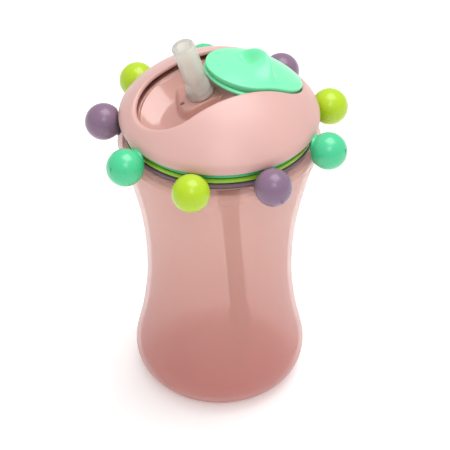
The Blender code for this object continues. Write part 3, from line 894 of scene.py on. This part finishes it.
@dataclass
class Bowl:
    """The bowl under the slot: ledge, scoop, and the raised deck for the straw."""

    track: Track
    radius: float = 45.0 * MM
    half_width: float = 16.0 * MM
    end: float = 47.8
    thickness: float = 1.4 * MM
    scoop_floor: float = 132.3 * MM
    scoop_along: float = -26.5 * MM
    scoop_across: float = -5.0 * MM
    scoop_curve: float = 17.6
    wall_drop: float = 9.0 * MM
    wall_run: float = 2.2 * MM
    deck_radius: float = 40.2 * MM
    deck_left: float = -17.6 * MM
    deck_front: float = -6.2 * MM
    deck_slant: float = 0.32
    deck_corner: float = 3.6 * MM
    deck_fall: float = 2.8 * MM
    vent_along: float = -16.1 * MM
    vent_radius: float = 0.9 * MM

    def ball_height(self, along: float, across: float, radius: float) -> float:
        """Height in the frame of a sphere about the track's centre."""
        return self.track.centre.z + math.sqrt(max(0.0, radius ** 2 - along ** 2 - across ** 2))

    def deck_distance(self, along: float, across: float) -> float:
        """How far a place is outside the deck's outline, negative inside it."""
        left = self.deck_left + self.deck_slant * max(0.0, across)
        dx = left - along + self.deck_corner
        dy = self.deck_front - across + self.deck_corner
        outside = math.hypot(max(dx, 0.0), max(dy, 0.0))
        return outside + min(max(dx, dy), 0.0) - self.deck_corner

    def height(self, along: float, across: float, inset: float) -> float:
        """Height of the bowl's surface.

        Args:
            along: distance along the track.
            across: distance across it.
            inset: distance in from the bowl's edge.

        Returns:
            The height in the frame.
        """
        edge = self.ball_height(along, across, self.radius)
        reach = (along - self.scoop_along) ** 2 + (across - self.scoop_across) ** 2
        bottom = self.scoop_floor + self.scoop_curve * reach
        side = edge - self.wall_drop * (1.0 - math.exp(-inset / self.wall_run))
        scoop = min(edge, smooth_max(bottom, side, 1.5 * MM))
        deck = self.ball_height(along, across, self.deck_radius)
        raised = deck - 12.0 * MM * ease(self.deck_distance(along, across) / self.deck_fall + 0.25)
        return min(edge, smooth_max(scoop, raised, 0.7 * MM))

    def mesh(self) -> bpy.types.Mesh:
        """The bowl's sheet, from its ledge to its middle line."""
        shape = Stadium(self.half_width, -self.end, self.end, self.radius, 56, 90)
        loops = []
        for grow in (3.6, 2.4, 1.2, 0.6):
            loops.append(shape.loop(self.track, grow * MM, self.radius))
        roll = 0.6 * MM
        for i in range(4):
            a = math.radians(30.0 * i)
            ring = shape.loop(self.track, roll * (1.0 - math.sin(a)) - 0.0, self.radius)
            loops.append([point - UP * roll * (1.0 - math.cos(a)) for point in ring])
        steps = 76
        for i in range(1, steps + 1):
            inset = (self.half_width - 0.35 * MM) * i / steps
            ring = []
            for point in shape.loop(self.track, -inset, self.radius):
                along, across = self.track.split(point)
                ring.append(self.track.level(along, across, self.height(along, across, inset) - roll))
            loops.append(ring)
        build = bmesh.new()
        rows = [[build.verts.new(point) for point in loop] for loop in loops]
        count = len(rows[0])
        for low, high in zip(rows, rows[1:]):
            for i in range(count):
                j = (i + 1) % count
                build.faces.new((low[i], low[j], high[j], high[i]))
        lace(build, rows[-1], shape.end_steps // 2)
        bmesh.ops.recalc_face_normals(build, faces=build.faces)
        if sum(face.normal.z for face in build.faces) < 0.0:
            bmesh.ops.reverse_faces(build, faces=build.faces)
        mesh = bpy.data.meshes.new("bowl_shell")
        build.to_mesh(mesh)
        build.free()
        return mesh

    def build(self, shop: Workshop) -> None:
        """Build and dress the bowl.

        Args:
            shop: the workshop that hands out pieces.
        """
        sheet = loose_object("bowl_shell", self.mesh())
        shell = sheet.modifiers.new("wall", "SOLIDIFY")
        shell.thickness = self.thickness
        shell.offset = -1.0
        bore = [self.track.level(self.vent_along, 0.0, height * MM) for height in (128.0, 146.0)]
        drill = sweep(bore, [self.vent_radius] * 2, self.track.across, 24)
        tool = loose_object("vent_drill", skin("vent_drill", drill))
        combine(sheet, tool, "DIFFERENCE")
        # the bowl's finish is glossier, and darker as painted recess shade
        shop.hand_over(sheet, Slot.SATIN, Body.LID, ["lid_bowl"], Look.POLISHED_SHADED_PINK)
        soften_edges(sheet, 50.0)


@dataclass
class LidBase:
    """The parts of the lid below the dome that show from the side."""

    sides: int = 128

    def build(self, shop: Workshop) -> None:
        """Dress the sleeve, washer and valve, and build the ring retainer.

        Args:
            shop: the workshop that hands out pieces.
        """
        shop.dress_node("lid_base", Slot.SATIN)
        shop.dress_node("lid_gasket", Slot.SILICONE)
        shop.dress_node("vent_valve", Slot.SILICONE)
        low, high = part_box("ring_retainer")
        roll = 0.2 * MM
        outer = (high.x - low.x) / 2.0
        inner = outer - 4.1 * MM
        profile = [
            (outer - roll, high.z), (outer, high.z - roll), (outer, low.z + roll), (outer - roll, low.z),
            (inner, low.z), (inner, high.z),
        ]
        ring = shop.piece(
            "retainer_ring", turned("retainer_ring", profile, self.sides),
            Slot.SATIN, Body.LID, ["ring_retainer"],
        )
        soften_edges(ring, 50.0)


# --------------------------------------------------------------------- cover

@dataclass
class Cover:
    """The sliding cover: a plate with a swept thumb fin, on a wider runner."""

    track: Track
    half_width: float = 15.8 * MM
    start: float = -5.2
    end: float = 45.7
    top: float = 49.3 * MM
    bottom: float = 46.9 * MM
    runner_half_width: float = 17.6 * MM
    runner_start: float = -6.2
    runner_end: float = 48.1
    runner_top: float = 46.6 * MM
    runner_bottom: float = 45.4 * MM
    fin_height: float = 6.0 * MM
    fin_middle: float = 1.2 * MM
    fin_back: float = 8.0 * MM
    fin_front: float = 15.0 * MM
    fin_round: float = 0.8 * MM
    fin_far_run: float = 3.8 * MM
    dip_depth: float = 2.0 * MM
    dip_reach: float = 5.0 * MM
    roll: float = 0.45 * MM
    ends: int = 28
    sides: int = 64

    def fin_shape(self, offset: float, across: float) -> float:
        """The fin's height as a share, at a distance past its crest, before its crest is rounded."""
        hollow = ease((across + 6.5 * MM) / (9.0 * MM))
        if offset < 0.0:
            near_run = (8.0 - 5.4 * hollow) * MM
            return max(0.0, 1.0 + offset / near_run) ** (1.8 - 0.5 * hollow)
        share = offset / self.fin_far_run
        return ease(1.0 - share) if share < 1.0 else 0.0

    def fin(self, angle: float, across: float) -> float:
        """Height of the thumb fin above the plate, with the thumb's hollow beside it.

        Args:
            angle: degrees along the track.
            across: metres across it.

        Returns:
            The height in metres.
        """
        past = across - self.fin_middle
        share = past / (self.fin_back if past > 0.0 else self.fin_front)
        if abs(share) >= 1.0:
            return 0.0
        rise = self.fin_height * (1.0 - share * share) ** 1.25
        crest = 21.3 - 2.6 * ((across + 5.0 * MM) / (10.0 * MM)) ** 2
        offset = math.radians(angle - crest) * self.top
        near = (-1.0, -0.5, 0.0, 0.5, 1.0)
        lift = rise * sum(self.fin_shape(offset + step * self.fin_round, across) for step in near) / len(near)
        from_dip = math.hypot(offset + 3.0 * MM, (across - 2.5 * MM) * 0.8) / self.dip_reach
        return lift - self.dip_depth * ease(1.0 - from_dip) * ease(1.0 - share * share)

    def shape(self, half_width: float, start: float, end: float) -> Stadium:
        """A fine outline for the plate or the runner."""
        return Stadium(half_width, start, end, self.top, self.ends, self.sides)

    def plate(self) -> bpy.types.Mesh:
        """The plate with its rolled edge and its fin."""
        shape = self.shape(self.half_width, self.start, self.end)
        middle = -(self.half_width - 0.3 * MM)
        loops = shape.rows(self.track, middle, -0.4 * MM, self.bottom, 10)
        rows = [(0.0, self.bottom + 0.3 * MM), (0.0, self.top - self.roll)]
        for i in range(1, 5):
            a = math.radians(22.5 * i)
            rows.append((-self.roll * (1.0 - math.cos(a)), self.top - self.roll * (1.0 - math.sin(a))))
        loops += [shape.loop(self.track, grow, radius) for grow, radius in rows]
        steps = 60
        first = -self.roll - 0.2 * MM
        for i in range(steps + 1):
            outline = shape.outline(first + (middle - first) * i / steps)
            loops.append([
                self.track.ball(angle, across, self.top + self.fin(angle, across))
                for angle, across in outline
            ])
        return skin("cover_plate", loops, tip=self.ends // 2)

    def runner(self) -> bpy.types.Mesh:
        """The thin runner under the plate, wider than the slot."""
        shape = self.shape(self.runner_half_width, self.runner_start, self.runner_end)
        roll = 0.4 * MM
        middle = -(self.runner_half_width - 0.4 * MM)
        loops = shape.rows(self.track, middle, -roll, self.runner_bottom, 10)
        rows = [
            (0.0, self.runner_bottom + roll), (0.0, self.runner_top - roll),
            (-0.12 * MM, self.runner_top - 0.12 * MM)]
        loops += [shape.loop(self.track, grow, radius) for grow, radius in rows]
        loops += shape.rows(self.track, -roll, middle, self.runner_top, 10)
        return skin("cover_runner", loops, tip=self.ends // 2)

    def build(self, shop: Workshop) -> None:
        """Build and dress the cover.

        Args:
            shop: the workshop that hands out pieces.
        """
        plate = shop.piece(
            "cover_plate", self.plate(), Slot.MINT, Body.COVER, ["slide_cover"], Look.PALE_MINT
        )
        soften_edges(plate, 70.0)
        runner = shop.piece(
            "cover_runner", self.runner(), Slot.MINT, Body.COVER, ["slide_runner"], Look.PALE_MINT
        )
        soften_edges(runner, 70.0)


# --------------------------------------------------------------------- straw

@dataclass
class Straw:
    """The soft mouthpiece, its collar and barrel, and the tube down into the cup."""

    track: Track
    sides: int = 48
    bore: float = 2.6 * MM
    lean: float = 0.378
    low_lean: float = 0.08
    bend_top: float = 132.2 * MM
    bend_end: float = 99.2 * MM
    barrel_end: float = 82.0 * MM
    tube_top: float = 90.0 * MM
    tube_end: float = 9.2 * MM
    foot_top: float = 25.0 * MM
    barrel_radius: float = 4.8 * MM
    socket_radius: float = 3.95 * MM
    socket_depth: float = 8.6 * MM
    tube_radius: float = 3.6 * MM
    foot_radius: float = 4.7 * MM
    collar_radius: float = 5.6 * MM
    spout_lean: float = 0.302
    press_depth: float = 1.31 * MM
    press_keep: float = 0.30

    def pivot(self) -> Vector:
        """The fold joint's place."""
        return Vector(joint("spout_fold")["pos_m"])

    def point(self, height: float) -> Vector:
        """A point on the centre line below the pivot, from its height."""
        pivot = self.pivot()
        along = self.track.split(pivot)[0] + self.lean * (pivot.z - max(height, self.bend_top))
        if height < self.bend_top:
            bend = self.bend_top - self.bend_end
            into = min(self.bend_top - height, bend)
            along += self.lean * into - (self.lean - self.low_lean) * into * into / (2.0 * bend)
        along += self.low_lean * max(0.0, self.bend_end - height)
        return self.track.level(along, 0.0, height)

    def run(self, top: float, bottom: float, spacing: float = 1.5 * MM) -> list[Vector]:
        """Points down the centre line between two heights."""
        count = max(1, round((top - bottom) / spacing))
        return [self.point(top + (bottom - top) * i / count) for i in range(count + 1)]

    def tube(
        self, name: str, rows: Sequence[tuple[Vector, float]], inner: Sequence[tuple[Vector, float]]
    ) -> bpy.types.Mesh:
        """A hollow tube from its outer rows and its inner rows, both top to bottom."""
        outside = sweep([row[0] for row in rows], [row[1] for row in rows], self.track.across, self.sides)
        inside = sweep([row[0] for row in inner], [row[1] for row in inner], self.track.across, self.sides)
        return skin(name, outside + list(reversed(inside)), wrap=True)

    def spout(self) -> bpy.types.Mesh:
        """The soft mouthpiece above the fold, from its tip down."""
        pivot = self.pivot()
        sizes = (
            (0.0, 0.0, 5.0), (-0.38, 1.0, 5.0), (-0.75, 2.4, 4.85), (-1.25, 4.4, 4.38), (-1.85, 6.4, 4.5),
            (-2.8, 9.6, 4.6), (-4.8, 16.3, 4.62), (-5.9, 19.6, 4.62), (-6.25, 20.7, 4.58), (-6.38, 21.1, 4.4),
        )
        fine = smooth_line([tuple(part * MM for part in size) for size in sizes], 4)
        base = self.track.split(pivot)[0]
        rows = [(self.track.level(base + along, 0.0, pivot.z + up), radius) for along, up, radius in fine]
        rows.reverse()
        inner = [(place, self.bore) for place, _ in rows]
        inner[0] = (inner[0][0], self.bore + 0.5 * MM)
        return self.tube("spout_fine", rows, inner)

    def collar(self) -> bpy.types.Mesh:
        """The flange in the bowl and the barrel under it, which grips the tube."""
        top = self.pivot().z - 0.05 * MM
        flange = top - 1.55 * MM
        rows = [
            (self.point(top), 5.0 * MM), (self.point(top - 0.75 * MM), 5.1 * MM),
            (self.point(flange + 0.3 * MM), self.collar_radius - 0.3 * MM),
            (self.point(flange), self.collar_radius), (self.point(flange - 0.5 * MM), self.collar_radius),
            (self.point(flange - 0.7 * MM), self.barrel_radius),
        ]
        rows += [(place, self.barrel_radius) for place in self.run(flange - 1.5 * MM, self.barrel_end)]
        step = self.barrel_end + self.socket_depth
        inner = [(place, self.bore) for place in self.run(top, step)]
        inner += [(place, self.socket_radius) for place in self.run(step - 0.1 * MM, self.barrel_end)]
        return self.tube("collar_fine", rows, inner)

    def plain_tube(self, name: str, top: float, bottom: float, outer: float, inner: float) -> bpy.types.Mesh:
        """A stretch of tube with eased ends."""
        roll = 0.25 * MM
        places = self.run(top, bottom)
        rows = [(place, outer) for place in places]
        rows[0] = (rows[0][0], outer - roll)
        rows.insert(1, (self.point(top - roll), outer))
        rows[-1] = (rows[-1][0], outer - roll)
        rows.insert(-1, (self.point(bottom + roll), outer))
        return self.tube(name, rows, [(place, inner) for place in places])

    def build(self, shop: Workshop) -> None:
        """Build and dress the straw.

        Args:
            shop: the workshop that hands out pieces.
        """
        spout = shop.piece("spout_fine", self.spout(), Slot.SILICONE, Body.SPOUT, ["straw_spout"])
        soften_edges(spout, 60.0)
        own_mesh(spout)
        collar = shop.piece("collar_fine", self.collar(), Slot.SILICONE, Body.LID, ["straw_collar"])
        soften_edges(collar, 60.0)
        mesh = self.plain_tube("straw_tube_fine", self.tube_top, self.tube_end, self.tube_radius, self.bore)
        soften_edges(shop.piece("straw_tube_fine", mesh, Slot.TUBE, Body.LID, ["straw_tube"]), 60.0)
        mesh = self.plain_tube(
            "straw_foot_fine", self.foot_top, self.tube_end, self.foot_radius, self.tube_radius + 0.3 * MM
        )
        soften_edges(shop.piece("straw_foot_fine", mesh, Slot.TUBE, Body.LID, ["straw_foot"]), 60.0)


# --------------------------------------------------------------------- beads

@dataclass
class BeadRing:
    """One thin ring with three pegs and a bead on each."""

    colour: str
    slot: Slot
    body: Body
    # the ring's finish: a deeper tone of the slot's colour, as painted shade from the dome's shadow
    ring_shade_look: Look
    sides: int = 160
    inner: float = 35.3 * MM
    roll: float = 0.55 * MM
    bead_circle: float = 46.63 * MM
    bead_radius: float = 7.5 * MM
    neck_start: float = 38.5 * MM
    neck_radius: float = 1.4 * MM
    bore: float = 1.0 * MM
    peg_radius: float = 0.7 * MM
    peg_start: float = 36.8 * MM
    peg_end: float = 43.6 * MM
    beads: int = 3

    def level(self) -> tuple[float, float]:
        """The ring's lowest and highest height, from the bead pegs' ring in the frame."""
        low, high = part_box("ring_" + self.colour)
        return low.z, high.z

    def spots(self) -> list[Vector]:
        """Each bead's direction out from the cup's centre line."""
        spots = []
        for i in range(self.beads):
            node = frame["nodes"]["bead_%s_%d" % (self.colour, i + 1)]
            total = sum((vertex.co for vertex in node.data.vertices), Vector())
            spots.append(Vector((total.x, total.y, 0.0)).normalized())
        return spots

    def bead_plane(self) -> float:
        """Height of the bead centres."""
        low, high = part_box("bead_%s_1" % self.colour)
        return (low.z + high.z) / 2.0

    def ring_mesh(self) -> bpy.types.Mesh:
        """The ring with rounded edges."""
        low, high = self.level()
        outer = 38.0 * MM
        roll = self.roll
        profile = arc((outer - roll, high - roll), roll, 0.0, 90.0, 4)
        profile += arc((outer - roll, low + roll), roll, 90.0, 180.0, 4)
        profile += arc((self.inner + roll, low + roll), roll, 180.0, 270.0, 4)
        profile += arc((self.inner + roll, high - roll), roll, 270.0, 360.0, 4)
        return turned("ring_fine_" + self.colour, profile, self.sides)

    def bead_mesh(self, name: str, out: Vector) -> bpy.types.Mesh:
        """A bead drawn into a short neck that meets the ring's peg.

        Args:
            name: the mesh's name.
            out: the direction out from the cup's centre line.

        Returns:
            The mesh.
        """
        low, high = self.level()
        plane = self.bead_plane()
        offset = (low + high) / 2.0 - plane
        side = out.cross(UP)
        rows: list[tuple[float, float]] = []
        steps = 36
        for i in range(steps + 1):
            a = math.radians(148.0 * max(i, 0.12) / steps)
            rows.append((self.bead_radius * math.cos(a), self.bead_radius * math.sin(a)))
        end = self.neck_start - self.bead_circle
        rows += [
            (-6.72 * MM, 3.05 * MM), (-7.0 * MM, 2.45 * MM),
            (-7.3 * MM, 2.0 * MM), (-7.65 * MM, 1.7 * MM),
        ]
        rows += [(end + 0.15 * MM, self.neck_radius), (end, self.neck_radius - 0.15 * MM)]
        rows += [(end, self.bore), (self.peg_end + 0.4 * MM - self.bead_circle, self.bore)]
        loops = []
        for reach, radius in rows:
            shift = offset * ease((-reach - 5.2 * MM) / (1.8 * MM)) if radius > self.bore else offset
            centre = out * (self.bead_circle + reach) + UP * (plane + shift)
            loops.append([
                centre + radius * (math.cos(math.tau * k / 48) * side + math.sin(math.tau * k / 48) * UP)
                for k in range(48)
            ])
        return skin(name, loops)

    def build(self, shop: Workshop) -> None:
        """Build and dress the ring and its beads.

        Args:
            shop: the workshop that hands out pieces.
        """
        low, high = self.level()
        middle = UP * (low + high) / 2.0
        ring = loose_object("ring_fine_" + self.colour, self.ring_mesh())
        for out in self.spots():
            line = [out * self.peg_start + middle, out * self.peg_end + middle]
            peg = skin("peg", sweep(line, [self.peg_radius] * 2, out.cross(UP), 20))
            combine(ring, loose_object("peg", peg), "UNION")
        shop.hand_over(ring, self.slot, self.body, ["ring_" + self.colour], self.ring_shade_look)
        soften_edges(ring, 50.0)
        for i, out in enumerate(self.spots(), start=1):
            name = "bead_fine_%s_%d" % (self.colour, i)
            node = "bead_%s_%d" % (self.colour, i)
            bead = shop.piece(name, self.bead_mesh(name, out), self.slot, self.body, [node])
            soften_edges(bead, 60.0)


# -------------------------------------------------------------------- studio

@dataclass
class Studio:
    """Floor, soft lights and the camera."""

    camera_place: Vector = Vector((0.0, -0.7448, 0.6523))
    camera_pitch: float = 37.85
    camera_yaw: float = -0.174
    lens: float = 182.0
    floor_size: float = 6.0
    sky: float = 0.62

    def lamp(self, name: str, place: tuple, aim: tuple, size: float, power: float) -> None:
        """Add one square soft light.

        Args:
            name: the light's name.
            place: where it stands.
            aim: the point it faces.
            size: its width in metres.
            power: its power in watts.
        """
        light = bpy.data.lights.new(name, "AREA")
        light.shape = "SQUARE"
        light.size = size
        light.energy = power
        lamp = loose_object(name, light)
        lamp.location = place
        lamp.rotation_euler = (Vector(aim) - Vector(place)).to_track_quat("-Z", "Y").to_euler()

    def build(self) -> None:
        """Set the floor, the lights and the camera."""
        half = self.floor_size / 2.0
        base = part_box("cup_body")[0].z
        square = ((-half, -half), (half, -half), (half, half), (-half, half))
        corners = [Vector((x, y, base)) for x, y in square]
        mesh = bpy.data.meshes.new("floor")
        mesh.from_pydata(corners, [], [(0, 1, 2, 3)])
        floor = loose_object("floor", mesh)
        floor.data.materials.append(Floor().build())

        world = bpy.data.worlds.new("studio")
        world.use_nodes = True
        world.node_tree.nodes["Background"].inputs["Color"].default_value = (1.0, 1.0, 1.0, 1.0)
        world.node_tree.nodes["Background"].inputs["Strength"].default_value = self.sky
        bpy.context.scene.world = world
        self.lamp("overhead_light", (0.16, 0.14, 1.15), (0.0, 0.0, 0.1), 0.80, 9.0)
        self.lamp("front_light", (0.10, -0.80, 1.1), (0.0, 0.0, 0.1), 0.5, 3.0)
        bpy.context.scene.view_settings.view_transform = "Standard"

        camera = bpy.data.cameras.new("camera")
        camera.lens = self.lens
        camera.sensor_width = 36.0
        camera.clip_end = 20.0
        seat = loose_object("camera", camera)
        seat.location = self.camera_place
        seat.rotation_euler = (math.radians(90.0 - self.camera_pitch), 0.0, math.radians(self.camera_yaw))
        bpy.context.scene.camera = seat


def make_finishes() -> dict[Enum, bpy.types.Material]:
    """Make one material for each slot and each variant."""
    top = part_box("cup_body")[1].z
    makers = {
        Slot.SATIN: MouldedPlastic(
            "satin_pink", (0.64, 0.385, 0.35),
            roughness=0.36, gloss_coat=0.0, depth_glow=0.08, grain=0.08, mottle=0.02,
        ),
        # The bowl's finish: the lower roughness and the coat are real gloss, and the darker colour is painted
        # shade of the recess.
        Look.POLISHED_SHADED_PINK: MouldedPlastic(
            "polished_shaded_pink", (0.58, 0.31, 0.265),
            roughness=0.16, gloss_coat=0.4, depth_glow=0.08, grain=0.04, mottle=0.02,
        ),
        # base is painted shade for the shadowed floor disc; lower and upper make the wall darker towards the
        # bottom
        Slot.FROSTED: FrostedPlastic(
            "frosted_pink", upper=(0.76, 0.41, 0.34), lower=(0.66, 0.27, 0.235), base=(0.44, 0.10, 0.085),
            height=top,
        ),
        Slot.MINT: MouldedPlastic(
            "mint", (0.06, 0.57, 0.27),
            roughness=0.28, gloss_coat=0.25, depth_glow=0.0, grain=0.02, mottle=0.01, shine=0.5,
        ),
        Look.PALE_MINT: MouldedPlastic(
            "pale_mint", (0.185, 0.76, 0.41),
            roughness=0.32, gloss_coat=0.10, depth_glow=0.06, grain=0.02, mottle=0.01, shine=0.4,
        ),
        # The three ring variants below are the slot colours made deeper, as painted shade for the rings in
        # the dome's shadow.
        Look.SHADED_MINT: MouldedPlastic(
            "shaded_mint", (0.03, 0.44, 0.17),
            roughness=0.28, gloss_coat=0.15, depth_glow=0.0, grain=0.02, mottle=0.01, shine=0.4,
        ),
        Look.SHADED_LIME: MouldedPlastic(
            "shaded_lime", (0.25, 0.48, 0.01),
            roughness=0.26, gloss_coat=0.15, depth_glow=0.0, grain=0.02, mottle=0.01, shine=0.4,
        ),
        Look.SHADED_PURPLE: MouldedPlastic(
            "shaded_purple", (0.15, 0.085, 0.13),
            roughness=0.30, gloss_coat=0.10, depth_glow=0.0, grain=0.02, mottle=0.01, shine=0.4,
        ),
        Slot.LIME: MouldedPlastic(
            "lime", (0.43, 0.62, 0.015),
            roughness=0.26, gloss_coat=0.15, depth_glow=0.05, grain=0.02, mottle=0.01, shine=0.4,
        ),
        Slot.PURPLE: MouldedPlastic(
            "purple", (0.225, 0.135, 0.215),
            roughness=0.28, gloss_coat=0.15, depth_glow=0.0, grain=0.02, mottle=0.01, shine=0.4,
        ),
        Slot.SILICONE: Silicone("silicone", (0.96, 0.93, 0.87)),
        Slot.TUBE: Silicone("tube_plastic", (0.55, 0.38, 0.31), roughness=0.35, clearness=0.25),
    }
    return {slot: maker.build() for slot, maker in makers.items()}


def main() -> None:
    """Build the studio, then every sub-assembly in order."""
    logging.basicConfig(level=logging.INFO, format="%(name)s: %(message)s")
    Studio().build()
    shop = Workshop(make_finishes())
    track = Track.from_frame()
    Cup().build(shop)
    LidBase().build(shop)
    Dome(track).build(shop)
    Bowl(track).build(shop)
    Cover(track).build(shop)
    Straw(track).build(shop)
    rings = (
        # each ring takes a deeper variant of its slot's colour, as painted shade
        ("mint", Slot.MINT, Body.RING_UPPER, Look.SHADED_MINT),
        ("lime", Slot.LIME, Body.RING_MIDDLE, Look.SHADED_LIME),
        ("purple", Slot.PURPLE, Body.RING_LOWER, Look.SHADED_PURPLE),
    )
    for colour, slot, body, look in rings:
        BeadRing(colour, slot, body, look).build(shop)


if __name__ == "__main__":
    main()
